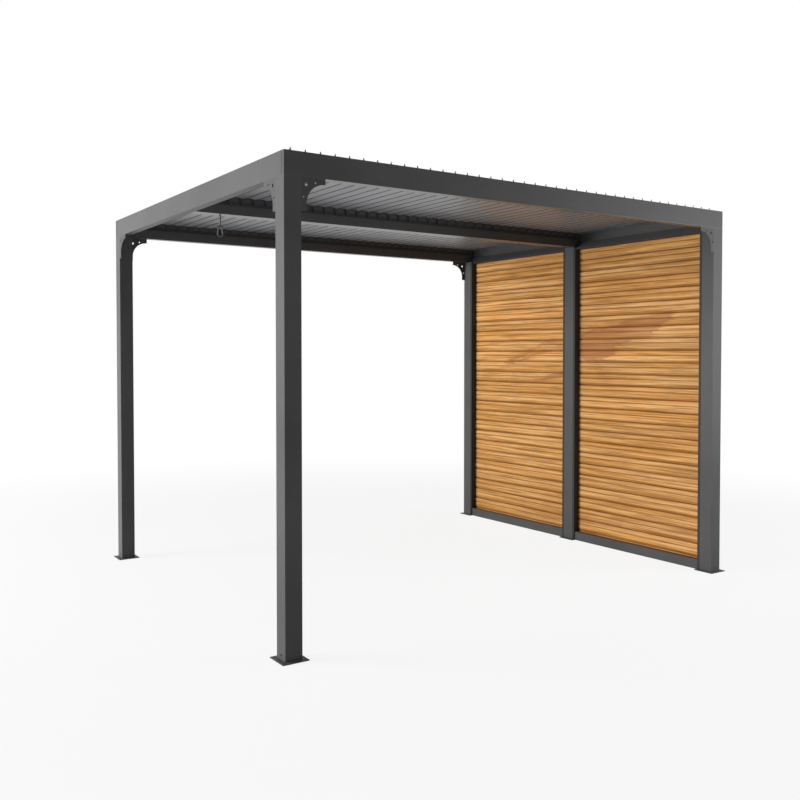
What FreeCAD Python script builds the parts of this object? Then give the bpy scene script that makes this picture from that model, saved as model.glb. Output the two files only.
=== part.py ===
# Louvered pergola: an aluminium frame on five posts, a timber-look screen wall on its right
# side, and a roof of tilting louvres in two fields, one before and one behind the middle beam.
# Origin: ground level, centre of the footprint. +X runs along the long front, +Y to the back,
# +Z up. Millimetres and degrees.
import FreeCAD, Part
import math
import os

import Sketcher

os.makedirs("parts", exist_ok=True)

doc = FreeCAD.newDocument("LouveredPergola")

# Driving sizes
SIZES = [
    # overall
    ("length", 3225, "outer face to outer face of the posts, left to right"),
    ("depth", 2665, "outer face to outer face of the posts, front to back"),
    ("height", 2400, "ground to the top of the beams"),
    # posts and their feet
    ("post_width", 90, "square section of a post"),
    ("post_wall", 2.5, "wall of a post"),
    ("post_cap", 4, "plate that closes the top of a post"),
    ("plate_margin", 25, "how far a base plate stands out past its post"),
    ("plate_thick", 5, "thickness of a base plate"),
    ("plate_hole_edge", 16, "hole centre to plate edge"),
    ("plate_hole_dia", 10, "anchor hole"),
    # beams
    ("beam_height", 116, "height of the four outer beams"),
    ("beam_width", 50, "width of the four outer beams at the bottom"),
    ("beam_wall", 2.5, "wall of a beam"),
    ("fascia_width", 20, "outer upright of a beam, which laps past the beam beside it"),
    ("gutter_height", 40, "height of the inner trough of a side beam"),
    ("mid_beam_height", 110, "height of the middle beam"),
    ("mid_beam_width", 90, "width of the middle beam"),
    # corner brackets
    ("bracket_leg", 157, "upright leg of a corner bracket"),
    ("bracket_run", 130, "level leg"),
    ("bracket_end", 28, "square end of a leg"),
    ("bracket_step", 3, "flat between the square end and the curve"),
    ("bracket_thick", 6, "plate thickness"),
    ("corner_hole_dia", 17, "hole near the corner"),
    ("corner_hole_out", 27.5, "its distance from the post"),
    ("corner_hole_down", 34.5, "its distance below the beam"),
    ("leg_hole_dia", 10, "hole in each leg"),
    ("run_hole_out", 77, "level leg's hole from the post"),
    ("run_hole_down", 24, "level leg's hole below the beam"),
    ("leg_hole_out", 14, "upright leg's hole from the post"),
    ("leg_hole_down", 94, "upright leg's hole below the beam"),
    # screen wall
    ("channel_width", 20, "upright channel beside a post"),
    ("channel_groove", 12, "how deep the panel edge sits in the channel"),
    ("rail_depth", 72, "front to back size of the bottom and top rails"),
    ("rail_height", 65, "height of the bottom rail"),
    ("rail_wall", 3, "wall of the bottom rail"),
    ("top_rail_height", 16, "height of the rail under the beam"),
    ("panel_thick", 24, "thickness of the slatted panel"),
    ("panel_setback", 50, "inner face of the posts to the panel's face"),
    ("panel_play", 0.5, "play of the panel in its channels and under the top rail"),
    ("board_pitch", 88, "height of one board of a panel"),
    ("board_first", 8, "bottom rail to the lowest joint between two boards"),
    ("board_joint", 8.5, "depth of the groove at a joint"),
    ("joint_below", 6, "how far that groove reaches below its joint"),
    ("joint_above", 14, "how far it reaches above"),
    # louvres
    ("louvre_count", 38, "louvres in each field"),
    ("louvre_side_gap", 12.1, "side beam to the nearest joint between louvres"),
    ("sheet_thick", 2, "sheet of a louvre"),
    ("louvre_sink", 4, "underside of a closed louvre below the tops of the beams"),
    ("pivot_drop", 34, "pivot axis below the underside of a closed louvre"),
    ("pivot_offset", 14, "pivot axis right of a louvre's middle"),
    ("lip_rise", 17, "crest of the folded lip above the underside"),
    ("lip_base", 22, "width of the lip where it leaves the sheet"),
    ("lip_crest", 10, "width of the lip's flat crest"),
    ("lip_clear", 7, "free edge of the lip above the underside"),
    ("upstand_rise", 8, "upstand under the neighbour's lip"),
    ("end_gap", 8, "beam to the end of a louvre"),
    ("tab_rise", 30, "pointed tab on the outer end of a lip, above the underside"),
    ("tab_foot", 9, "width of a tab on the crest"),
    ("tab_tip", 3, "width of a tab at its tip"),
    ("lug_thick", 3, "end lugs and tabs"),
    ("lug_foot", 14, "width of a lug at the pivot"),
    ("lug_top", 26, "width of a lug at the sheet"),
    ("pin_dia", 8, "pivot pin, turned round at its corners"),
    ("pin_flat", 6, "pivot pin across its flats"),
    ("pin_play", 0.1, "radial play of a pin in its notch"),
    ("pin_tip_gap", 0.5, "pin end to the beam"),
    # pivot rails
    ("pivot_rail_thick", 3, "thickness of a pivot rail"),
    ("pivot_rail_below", 16, "rail below the pivot axis"),
    ("pivot_rail_above", 6, "rail above the pivot axis"),
    # fixed sheets beside the side beams
    ("strip_fold", 13, "fold of the left closing strip to the first louvre's joint"),
    ("strip_reach", 1.5, "how far that strip's crest goes past the joint"),
    # crank drive
    ("crank_from_left", 237, "outer left face to the crank's axis"),
    ("gearbox_size", 60, "square plan of the gearbox"),
    ("gearbox_height", 70, "height of the gearbox"),
    ("crank_rod_dia", 9, "rod under the beam"),
    ("crank_rod_drop", 60, "beam to the top of the eye"),
    ("crank_rod_inside", 40, "rod inside the gearbox"),
    ("crank_play", 0.1, "radial play of the rod"),
    ("eye_height", 72, "outer height of the eye"),
    ("eye_top_width", 30, "outer width of the eye near its top"),
    ("eye_foot_width", 41, "outer width of the eye near its foot"),
    ("eye_wire", 7, "thickness of the eye"),
]

sheet = doc.addObject("Spreadsheet::Sheet", "Sizes")
for row, (alias, value, meaning) in enumerate(SIZES, start=1):
    sheet.set("A%d" % row, alias)
    sheet.set("B%d" % row, str(value))
    sheet.set("C%d" % row, meaning)
    sheet.setAlias("B%d" % row, alias)
doc.recompute()


def cells(text):
    # Put the sheet's name before each alias in a formula, but not before a function's name.
    out = []
    word = ""
    for mark in text + " ":
        if mark.isalnum() or mark == "_" or (mark == "." and word[:1].isdigit()):
            word += mark
            continue
        out.append("Sizes." + word if word[:1].isalpha() and mark != "(" else word)
        out.append(mark)
        word = ""
    return "".join(out).strip()


def value(text):
    return float(sheet.evalExpression(cells(str(text))))


def bind(item, prop, text):
    item.setExpression(prop, cells(str(text)))


def place(item, x, y, z):
    bind(item, ".Placement.Base.x", x)
    bind(item, ".Placement.Base.y", y)
    bind(item, ".Placement.Base.z", z)
    return item


def box(name, corner, size):
    item = doc.addObject("Part::Box", name)
    for prop, text in zip(("Length", "Width", "Height"), size):
        bind(item, prop, text)
    return place(item, *corner)


def cylinder(name, dia, length, base):
    # Upright cylinder with its lower centre at base.
    item = doc.addObject("Part::Cylinder", name)
    bind(item, "Radius", "(%s) / 2" % dia)
    bind(item, "Height", length)
    return place(item, *base)


def fuse(name, shapes):
    item = doc.addObject("Part::MultiFuse", name)
    item.Shapes = shapes
    item.Refine = True
    return item


def cut(name, base, tools):
    item = doc.addObject("Part::Cut", name)
    item.Base = base
    item.Tool = tools[0] if len(tools) == 1 else fuse(name + "_tools", tools)
    return item


def mirror(name, source, normal):
    item = doc.addObject("Part::Mirroring", name)
    item.Source = source
    item.Normal = FreeCAD.Vector(*normal)
    return item


def group(name, shapes):
    item = doc.addObject("Part::Compound", name)
    item.Links = shapes
    return item


def origin_plane(body, role):
    for feature in body.Origin.OriginFeatures:
        if feature.Role == role:
            return feature
    raise RuntimeError("no plane " + role)


def new_sketch(body, name, role, offset):
    # Sketch on one of the body's own planes, moved along its normal by offset.
    sketch = body.newObject("Sketcher::SketchObject", name)
    sketch.AttachmentSupport = [(origin_plane(body, role), "")]
    sketch.MapMode = "FlatFace"
    bind(sketch, ".AttachmentOffset.Base.z", offset)
    return sketch


def pin_point(sketch, geo, point, x, y):
    # Hold one sketch point at the formulas x and y.
    for kind, text in (("DistanceX", x), ("DistanceY", y)):
        index = sketch.addConstraint(Sketcher.Constraint(kind, -1, 1, geo, point, value(text)))
        bind(sketch, "Constraints[%d]" % index, text)


def polygon(sketch, corners):
    # Closed outline through corners given as formulas.
    spots = [FreeCAD.Vector(value(x), value(y), 0) for x, y in corners]
    first = sketch.GeometryCount
    count = len(corners)
    for i in range(count):
        sketch.addGeometry(Part.LineSegment(spots[i], spots[(i + 1) % count]), False)
    for i in range(count):
        following = first + (i + 1) % count
        sketch.addConstraint(Sketcher.Constraint("Coincident", first + i, 2, following, 1))
    for i, (x, y) in enumerate(corners):
        pin_point(sketch, first + i, 1, x, y)


def circle(sketch, x, y, dia):
    centre = FreeCAD.Vector(value(x), value(y), 0)
    radius = value(dia) / 2
    geo = sketch.addGeometry(Part.Circle(centre, FreeCAD.Vector(0, 0, 1), radius), False)
    pin_point(sketch, geo, 3, x, y)
    index = sketch.addConstraint(Sketcher.Constraint("Diameter", geo, value(dia)))
    bind(sketch, "Constraints[%d]" % index, dia)


def pad(body, name, sketch, length):
    feature = body.newObject("PartDesign::Pad", name)
    feature.Profile = sketch
    bind(feature, "Length", length)
    sketch.Visibility = False
    return feature


def repeat(body, name, sketch, depth, axis, pitch, count):
    # Cut the sketch into the body, then repeat the cut along the sketch's axis.
    pocket = body.newObject("PartDesign::Pocket", name + "_cut")
    pocket.Profile = sketch
    pocket.Reversed = True
    bind(pocket, "Length", depth)
    sketch.Visibility = False
    doc.recompute()
    pattern = body.newObject("PartDesign::LinearPattern", name + "_row")
    pattern.Originals = [pocket]
    pattern.Direction = (sketch, [axis])
    bind(pattern, "Length", "(%s - 1) * %s" % (count, pitch))
    bind(pattern, "Occurrences", count)
    body.Tip = pattern
    doc.recompute()
    return body


LEFT = "-length / 2"
RIGHT = "length / 2"
FRONT = "-depth / 2"
BACK = "depth / 2"
BEAM_FOOT = "height - beam_height"
MID_BEAM_FOOT = "height - mid_beam_height"
nodes = []


def keep(item, label):
    item.Label = label
    nodes.append(item)
    return item


# Posts: square tubes closed by a cap, on their base plates
def post(label, x, y, top):
    outer = box(label + "_outer", (x, y, "plate_thick"), ("post_width", "post_width", top + " - plate_thick"))
    bore = box(
        label + "_bore",
        (x + " + post_wall", y + " + post_wall", "plate_thick"),
        ("post_width - 2 * post_wall", "post_width - 2 * post_wall", top + " - plate_thick - post_cap"),
    )
    return cut(label + "_tube", outer, [bore])


POST_SPOTS = {
    "post_front_left": (LEFT, FRONT),
    "post_back_left": (LEFT, "depth / 2 - post_width"),
    "post_front_right": ("length / 2 - post_width", FRONT),
    "post_back_right": ("length / 2 - post_width", "depth / 2 - post_width"),
}
for label, (x, y) in POST_SPOTS.items():
    keep(post(label, x, y, BEAM_FOOT), label)

# The middle post reaches the middle beam and is cut away under the right beam.
MIDDLE_POST = ("length / 2 - post_width", "-post_width / 2")
tall = post("post_middle", *MIDDLE_POST, MID_BEAM_FOOT)
seat = box(
    "post_middle_seat",
    ("length / 2 - beam_width", "-post_width / 2", BEAM_FOOT),
    ("beam_width", "post_width", "beam_height"),
)
keep(cut("post_middle_shape", tall, [seat]), "post_middle")


# Base plates with four anchor holes each
def base_plate(label, x, y):
    side = "post_width + 2 * plate_margin"
    plate = box(label, (x + " - plate_margin", y + " - plate_margin", "0"), (side, side, "plate_thick"))
    holes = []
    near = "plate_hole_edge - plate_margin"
    far = "post_width + plate_margin - plate_hole_edge"
    for dx in (near, far):
        for dy in (near, far):
            spot = ("%s + %s" % (x, dx), "%s + %s" % (y, dy), "0")
            holes.append(cylinder("%s_hole_%d" % (label, len(holes) + 1), "plate_hole_dia", "plate_thick", spot))
    return cut(label + "_drilled", plate, holes)


plates = []
for label, (x, y) in list(POST_SPOTS.items()) + [("post_middle", MIDDLE_POST)]:
    plates.append(base_plate(label.replace("post", "plate"), x, y))
keep(group("base_plate_set", plates), "base_plates")


# Front and back beams: box sections over the full length, cut out at the ends for the fascias
# and troughs of the side beams
def long_beam(label, y, lap_y):
    outer = box(label + "_outer", (LEFT, y, BEAM_FOOT), ("length", "beam_width", "beam_height"))
    bore = box(
        label + "_bore",
        ("-length / 2 + beam_wall", y + " + beam_wall", BEAM_FOOT + " + beam_wall"),
        ("length - 2 * beam_wall", "beam_width - 2 * beam_wall", "beam_height - 2 * beam_wall"),
    )
    laps = []
    for side, x, width, tall in (
        ("left_fascia", LEFT, "fascia_width", "beam_height"),
        ("left_trough", LEFT, "beam_width", "gutter_height"),
        ("right_fascia", "length / 2 - fascia_width", "fascia_width", "beam_height"),
        ("right_trough", "length / 2 - beam_width", "beam_width", "gutter_height"),
    ):
        corner = (x, lap_y, BEAM_FOOT)
        laps.append(box("%s_%s" % (label, side), corner, (width, "beam_width - fascia_width", tall)))
    return cut(label + "_shape", outer, [bore] + laps)


keep(long_beam("beam_front", FRONT, "-depth / 2 + fascia_width"), "beam_front")
keep(long_beam("beam_back", "depth / 2 - beam_width", "depth / 2 - beam_width"), "beam_back")


# Side beams: an upright fascia box with a lower trough box on its inner side
def side_beam(label, fascia_x, trough_x):
    start = "-depth / 2 + fascia_width"
    run = "depth - 2 * fascia_width"
    solid = []
    bores = []
    for part, x, width, tall in (
        ("fascia", fascia_x, "fascia_width", "beam_height"),
        ("trough", trough_x, "beam_width - fascia_width", "gutter_height"),
    ):
        solid.append(box("%s_%s" % (label, part), (x, start, BEAM_FOOT), (width, run, tall)))
        bores.append(box(
            "%s_%s_bore" % (label, part),
            (x + " + beam_wall", start, BEAM_FOOT + " + beam_wall"),
            (width + " - 2 * beam_wall", run, tall + " - 2 * beam_wall"),
        ))
    return cut(label + "_shape", fuse(label + "_section", solid), bores)


keep(side_beam("beam_left", LEFT, "-length / 2 + fascia_width"), "beam_left")
keep(side_beam("beam_right", "length / 2 - fascia_width", "length / 2 - beam_width"), "beam_right")

# Middle beam: a box section from fascia to fascia, notched over the side troughs
mid_run = "length - 2 * fascia_width"
mid_outer = box(
    "beam_middle_outer",
    ("-length / 2 + fascia_width", "-mid_beam_width / 2", MID_BEAM_FOOT),
    (mid_run, "mid_beam_width", "mid_beam_height"),
)
mid_tools = [
    box(
        "beam_middle_bore",
        ("-length / 2 + fascia_width", "-mid_beam_width / 2 + beam_wall", MID_BEAM_FOOT + " + beam_wall"),
        (mid_run, "mid_beam_width - 2 * beam_wall", "mid_beam_height - 2 * beam_wall"),
    ),
    cylinder(
        "beam_middle_crank_hole",
        "crank_rod_dia + 2 * crank_play",
        "beam_wall",
        ("-length / 2 + crank_from_left", "0", MID_BEAM_FOOT),
    ),
]
for side, x in (("left", "-length / 2 + fascia_width"), ("right", "length / 2 - beam_width")):
    mid_tools.append(box(
        "beam_middle_notch_" + side,
        (x, "-mid_beam_width / 2", BEAM_FOOT),
        ("beam_width - fascia_width", "mid_beam_width", "gutter_height"),
    ))
keep(cut("beam_middle_shape", mid_outer, mid_tools), "beam_middle")


# Corner brackets: flat plates with a quarter-round inner edge and three holes
def bracket(name):
    body = doc.addObject("PartDesign::Body", name)
    sketch = new_sketch(body, name + "_outline", "XZ_Plane", "-bracket_thick")
    curve_from = value("bracket_run - bracket_step")
    radius = value("bracket_run - bracket_step - bracket_end")
    middle = FreeCAD.Vector(curve_from, -curve_from, 0)
    corners = [
        ("0", "0"),
        ("bracket_run", "0"),
        ("bracket_run", "-bracket_end"),
        ("bracket_run - bracket_step", "-bracket_end"),
        ("bracket_end", "bracket_step - bracket_run"),
        ("bracket_end", "-bracket_leg"),
        ("0", "-bracket_leg"),
    ]
    spots = [FreeCAD.Vector(value(x), value(y), 0) for x, y in corners]
    ends = []
    for i in range(len(spots)):
        following = spots[(i + 1) % len(spots)]
        if i == 3:
            ring = Part.Circle(middle, FreeCAD.Vector(0, 0, 1), radius)
            geo = sketch.addGeometry(Part.ArcOfCircle(ring, math.pi / 2, math.pi), False)
            ends.append((geo, 1, 2))
        else:
            geo = sketch.addGeometry(Part.LineSegment(spots[i], following), False)
            ends.append((geo, 1, 2))
    for i, (geo, start, stop) in enumerate(ends):
        next_geo, next_start, next_stop = ends[(i + 1) % len(ends)]
        sketch.addConstraint(Sketcher.Constraint("Coincident", geo, stop, next_geo, next_start))
    for i, (x, y) in enumerate(corners):
        geo, start, stop = ends[i]
        pin_point(sketch, geo, start, x, y)
    index = sketch.addConstraint(Sketcher.Constraint("Radius", ends[3][0], radius))
    bind(sketch, "Constraints[%d]" % index, "bracket_run - bracket_step - bracket_end")
    circle(sketch, "corner_hole_out", "-corner_hole_down", "corner_hole_dia")
    circle(sketch, "run_hole_out", "-run_hole_down", "leg_hole_dia")
    circle(sketch, "leg_hole_out", "-leg_hole_down", "leg_hole_dia")
    pad(body, name + "_plate", sketch, "bracket_thick")
    return body


# The master bracket lies in the XZ plane with its outer corner at the origin. Placed, it is
# flush with the outer face of the post and the beam.
inner_left = "-length / 2 + post_width"
inner_front = "-depth / 2 + post_width"
long_bracket = bracket("bracket_long")
place(long_bracket, inner_left, FRONT, BEAM_FOOT)
side_bracket = bracket("bracket_side")
side_bracket.Placement.Rotation = FreeCAD.Rotation(FreeCAD.Vector(0, 0, 1), 90)
place(side_bracket, "-length / 2 + bracket_thick", inner_front, BEAM_FOOT)
ACROSS = (1, 0, 0)
ALONG = (0, 1, 0)
bracket_front_right = mirror("bracket_front_right", long_bracket, ACROSS)
brackets = [
    long_bracket,
    bracket_front_right,
    mirror("bracket_back_left", long_bracket, ALONG),
    mirror("bracket_back_right", bracket_front_right, ALONG),
    side_bracket,
    mirror("bracket_side_back", side_bracket, ALONG),
]
keep(group("bracket_set", brackets), "corner_brackets")

# Screen wall: channels beside the posts, rails below and above, a slatted panel in each bay
bay_start = "-depth / 2 + post_width"
bay_width = "(depth - 3 * post_width) / 2"
wall_centre = "length / 2 - post_width / 2"
panel_face = "length / 2 - post_width + panel_setback"


def channel(name, y, groove_y):
    outer = box(name, ("length / 2 - post_width", y, "plate_thick"),
                ("post_width", "channel_width", BEAM_FOOT + " - plate_thick"))
    groove = box(
        name + "_groove",
        (panel_face + " - panel_play", groove_y, "plate_thick"),
        ("panel_thick + 2 * panel_play", "channel_groove", BEAM_FOOT + " - plate_thick"),
    )
    return cut(name + "_shape", outer, [groove])


front_outer = channel("channel_outer", bay_start, bay_start + " + channel_width - channel_groove")
front_inner = channel("channel_inner", "-post_width / 2 - channel_width", "-post_width / 2 - channel_width")
channels = [
    front_outer,
    front_inner,
    mirror("channel_outer_back", front_outer, ALONG),
    mirror("channel_inner_back", front_inner, ALONG),
]
keep(group("channel_set", channels), "side_channels")

# Bottom rails: hollow bars notched over the base plates, which reach past the channels
rail_x = wall_centre + " - rail_depth / 2"
rail_y = bay_start + " + channel_width"
rail_run = bay_width + " - 2 * channel_width"
rail_outer = box("rail_outer", (rail_x, rail_y, "0"), ("rail_depth", rail_run, "rail_height"))
rail_bore = box(
    "rail_bore",
    (rail_x + " + rail_wall", rail_y, "rail_wall"),
    ("rail_depth - 2 * rail_wall", rail_run, "rail_height - 2 * rail_wall"),
)
plate_lap = "plate_margin - channel_width"
rail_notches = [
    box("rail_notch_" + end, (rail_x, y, "0"), ("rail_depth", plate_lap, "plate_thick"))
    for end, y in (("outer", rail_y), ("inner", "%s + %s - (%s)" % (rail_y, rail_run, plate_lap)))
]
rail_front = cut("rail_front", rail_outer, [rail_bore] + rail_notches)
keep(group("rail_set", [rail_front, mirror("rail_back", rail_front, ALONG)]), "bottom_rails")

top_rail_front = box(
    "top_rail_front",
    (rail_x, rail_y, BEAM_FOOT + " - top_rail_height"),
    ("rail_depth", rail_run, "top_rail_height"),
)
keep(group("top_rail_set", [top_rail_front, mirror("top_rail_back", top_rail_front, ALONG)]), "top_rails")


def slatted_panel():
    # One slab for all boards of a bay, with the grooves at their joints on both faces.
    panel_back = "(%s + panel_thick)" % panel_face
    panel_top = "(%s - top_rail_height - panel_play)" % BEAM_FOOT
    panel_run = rail_run + " + 2 * channel_groove - 2 * panel_play"
    first_joint = "(rail_height + board_first)"
    joints = "(floor((%s - %s - joint_above) / board_pitch) + 1)" % (panel_top, first_joint)
    offset = "depth / 2 - post_width - channel_width + channel_groove - panel_play - (%s)" % panel_run
    body = doc.addObject("PartDesign::Body", "panel_front")
    slab = new_sketch(body, "panel_slab", "XZ_Plane", offset)
    polygon(slab, [
        (panel_face, "rail_height"),
        (panel_back, "rail_height"),
        (panel_back, panel_top),
        (panel_face, panel_top),
    ])
    pad(body, "panel_body", slab, panel_run)
    doc.recompute()
    groove = new_sketch(body, "panel_joint", "XZ_Plane", offset)
    for face, bottom in (
        (panel_face, panel_face + " + board_joint"),
        (panel_back, panel_back + " - board_joint"),
    ):
        polygon(groove, [
            (face, first_joint + " - joint_below"),
            (bottom, first_joint),
            (face, first_joint + " + joint_above"),
        ])
    return repeat(body, "panel_joint", groove, panel_run, "V_Axis", "board_pitch", joints)


panel_front = slatted_panel()
keep(panel_front, "wall_panel_front")
keep(mirror("panel_back", panel_front, ALONG), "wall_panel_back")

# Pivot rails: notched strips on the beams, which the louvre pins lie in
PIVOT_HEIGHT = "height - louvre_sink - pivot_drop"
LOUVRE_FIELD = "(length - 2 * beam_width - 2 * louvre_side_gap)"
LOUVRE_PITCH = "(%s / louvre_count)" % LOUVRE_FIELD
FIRST_PIVOT = "(pivot_offset - %s / 2 + %s / 2)" % (LOUVRE_FIELD, LOUVRE_PITCH)


def pivot_rail(name, offset):
    body = doc.addObject("PartDesign::Body", name)
    strip = new_sketch(body, name + "_strip", "XZ_Plane", offset)
    polygon(strip, [
        ("-%s / 2" % LOUVRE_FIELD, PIVOT_HEIGHT + " - pivot_rail_below"),
        ("%s / 2" % LOUVRE_FIELD, PIVOT_HEIGHT + " - pivot_rail_below"),
        ("%s / 2" % LOUVRE_FIELD, PIVOT_HEIGHT + " + pivot_rail_above"),
        ("-%s / 2" % LOUVRE_FIELD, PIVOT_HEIGHT + " + pivot_rail_above"),
    ])
    pad(body, name + "_bar", strip, "pivot_rail_thick")
    doc.recompute()
    notch = new_sketch(body, name + "_notch", "XZ_Plane", offset)
    half = "(pin_dia / 2 + pin_play)"
    polygon(notch, [
        ("%s - %s" % (FIRST_PIVOT, half), "%s - %s" % (PIVOT_HEIGHT, half)),
        ("%s + %s" % (FIRST_PIVOT, half), "%s - %s" % (PIVOT_HEIGHT, half)),
        ("%s + %s" % (FIRST_PIVOT, half), PIVOT_HEIGHT + " + pivot_rail_above"),
        ("%s - %s" % (FIRST_PIVOT, half), PIVOT_HEIGHT + " + pivot_rail_above"),
    ])
    return repeat(body, name + "_notch", notch, "pivot_rail_thick", "H_Axis", LOUVRE_PITCH, "louvre_count")


outer_pivot_rail = pivot_rail("pivot_rail_outer", "depth / 2 - beam_width - pivot_rail_thick")
inner_pivot_rail = pivot_rail("pivot_rail_inner", "mid_beam_width / 2")
pivot_rails = [
    outer_pivot_rail,
    inner_pivot_rail,
    mirror("pivot_rail_outer_back", outer_pivot_rail, ALONG),
    mirror("pivot_rail_inner_back", inner_pivot_rail, ALONG),
]
keep(group("pivot_rail_set", pivot_rails), "pivot_rails")


# Louvre blade: an extruded sheet with a folded lip on one edge and an upstand on the other,
# an end lug at each end, a pivot pin on each lug and a pointed tab on the lip's outer end. Its
# pivot axis is the Y axis.
def pin_outline(sketch):
    # Square bar whose corners are turned down to the pin's diameter.
    flat = "(pin_flat / 2)"
    reach = "sqrt((pin_dia / 2) * (pin_dia / 2) - %s * %s)" % (flat, flat)
    corners = []
    for x_sign, y_sign in (("", ""), ("-", ""), ("-", "-"), ("", "-")):
        upright = (x_sign + flat, y_sign + reach)
        level = (x_sign + reach, y_sign + flat)
        corners += [upright, level] if x_sign == y_sign else [level, upright]
    spots = [FreeCAD.Vector(value(x), value(y), 0) for x, y in corners]
    radius = value("pin_dia") / 2
    for i in range(0, len(spots), 2):
        middle = (spots[i] + spots[i + 1]).normalize() * radius
        sketch.addGeometry(Part.Arc(spots[i], middle, spots[i + 1]), False)
        sketch.addGeometry(Part.LineSegment(spots[i + 1], spots[(i + 2) % len(spots)]), False)
    for i in range(len(spots)):
        following = (i + 1) % len(spots)
        sketch.addConstraint(Sketcher.Constraint("Coincident", i, 2, following, 1))
        pin_point(sketch, i, 1, *corners[i])
    for i in range(0, len(spots), 2):
        index = sketch.addConstraint(Sketcher.Constraint("Radius", i, radius))
        bind(sketch, "Constraints[%d]" % index, "pin_dia / 2")


def blade_outline(sketch):
    # Joints between louvres lie half a pitch each side of the blade's middle.
    joint_left = "(-%s / 2 - pivot_offset)" % LOUVRE_PITCH
    joint_right = "(%s / 2 - pivot_offset)" % LOUVRE_PITCH
    under = "pivot_drop"
    crest = "(pivot_drop + lip_rise)"
    lean = "((lip_base - lip_crest) / 2 / (lip_rise - sheet_thick))"
    hem = "(lip_crest / 2 + (lip_rise - lip_clear) * %s)" % lean
    polygon(sketch, [
        (joint_left + " - sheet_thick / 2", under),
        (joint_right + " - lip_base / 2 + sheet_thick", under),
        (joint_right + " - lip_crest / 2 + sheet_thick / 2", crest + " - sheet_thick"),
        (joint_right + " + lip_crest / 2 - sheet_thick / 2", crest + " - sheet_thick"),
        ("%s + %s - sheet_thick" % (joint_right, hem), under + " + lip_clear"),
        ("%s + %s" % (joint_right, hem), under + " + lip_clear"),
        (joint_right + " + lip_crest / 2", crest),
        (joint_right + " - lip_crest / 2", crest),
        (joint_right + " - lip_base / 2", under + " + sheet_thick"),
        (joint_left + " + sheet_thick / 2", under + " + sheet_thick"),
        (joint_left + " + sheet_thick / 2", under + " + upstand_rise"),
        (joint_left + " - sheet_thick / 2", under + " + upstand_rise"),
    ])


def tab_outline(sketch, joint, level):
    # Pointed tab that stands on a lip's crest. Level is the underside of the sheet.
    foot = "(%s + lip_rise - sheet_thick)" % level
    tip = "(%s + tab_rise)" % level
    polygon(sketch, [
        (joint + " - tab_foot / 2", foot),
        (joint + " + tab_foot / 2", foot),
        (joint + " + tab_tip / 2", tip),
        (joint + " - tab_tip / 2", tip),
    ])


FIELD_DEPTH = "(depth / 2 - beam_width - mid_beam_width / 2)"


def louvre_blade():
    inner_end = "(mid_beam_width / 2 + end_gap)"
    run = "(%s - 2 * end_gap)" % FIELD_DEPTH
    pin_run = "(end_gap - pin_tip_gap)"
    outer_end = "%s + %s" % (inner_end, run)
    body = doc.addObject("PartDesign::Body", "blade_front")
    section = new_sketch(body, "blade_section", "XZ_Plane", inner_end)
    blade_outline(section)
    pad(body, "blade_sheet", section, run)
    for end, lug_offset, pin_offset in (
        ("inner", inner_end, "%s - %s" % (inner_end, pin_run)),
        ("outer", outer_end + " - lug_thick", outer_end),
    ):
        lug = new_sketch(body, "lug_%s_outline" % end, "XZ_Plane", lug_offset)
        polygon(lug, [
            ("-lug_foot / 2", "-lug_foot / 2"),
            ("lug_foot / 2", "-lug_foot / 2"),
            ("lug_top / 2 - pivot_offset / 2", "pivot_drop"),
            ("-lug_top / 2 - pivot_offset / 2", "pivot_drop"),
        ])
        if end == "outer":
            tab_outline(lug, "(%s / 2 - pivot_offset)" % LOUVRE_PITCH, "pivot_drop")
        pad(body, "lug_" + end, lug, "lug_thick")
        pin = new_sketch(body, "pin_%s_outline" % end, "XZ_Plane", pin_offset)
        pin_outline(pin)
        pad(body, "pin_" + end, pin, pin_run)
    doc.recompute()
    return body


blade_front = louvre_blade()
blade_back = mirror("blade_back", blade_front, ALONG)
for number in range(1, int(value("louvre_count")) + 1):
    louvre = group("louvre_%02d_pair" % number, [blade_front, blade_back])
    place(louvre, "%s + %d * %s" % (FIRST_PIVOT, number - 1, LOUVRE_PITCH), "0", PIVOT_HEIGHT)
    keep(louvre, "louvre_%02d" % number)


# Closing strips: fixed sheets between the side beams and the outermost louvres. The left one
# folds up over the first louvre's upstand and ends short of that louvre's turning lip. The
# right one is flat.
def left_strip():
    joint = "(-%s / 2)" % LOUVRE_FIELD
    fascia = "-length / 2 + fascia_width"
    crest = "(height + lip_rise)"
    start = "mid_beam_width / 2"
    body = doc.addObject("PartDesign::Body", "strip_left_front")
    section = new_sketch(body, "strip_section", "XZ_Plane", start)
    polygon(section, [
        (fascia, "height - sheet_thick"),
        (joint + " - strip_fold", "height - sheet_thick"),
        (joint + " - lip_crest / 2", crest + " - sheet_thick"),
        (joint + " + strip_reach", crest + " - sheet_thick"),
        (joint + " + strip_reach", crest),
        (joint + " - lip_crest / 2 - sheet_thick / 2", crest),
        (joint + " - strip_fold - sheet_thick", "height"),
        (fascia, "height"),
    ])
    pad(body, "strip_sheet", section, FIELD_DEPTH)
    tab = new_sketch(body, "strip_tab", "XZ_Plane", "%s + %s - lug_thick" % (start, FIELD_DEPTH))
    tab_outline(tab, joint + " + strip_reach - tab_foot / 2", "(height - louvre_sink)")
    pad(body, "strip_tab_plate", tab, "lug_thick")
    doc.recompute()
    return body


strip_left = left_strip()
strip_right = box(
    "strip_right_front",
    ("%s / 2 + sheet_thick / 2" % LOUVRE_FIELD, "-depth / 2 + beam_width", "height - louvre_sink - sheet_thick"),
    ("length / 2 - fascia_width - %s / 2 - sheet_thick / 2" % LOUVRE_FIELD, FIELD_DEPTH, "sheet_thick"),
)
closing_strips = [
    strip_left,
    strip_right,
    mirror("strip_left_back", strip_left, ALONG),
    mirror("strip_right_back", strip_right, ALONG),
]
keep(group("closing_strip_set", closing_strips), "closing_strips")

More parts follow.
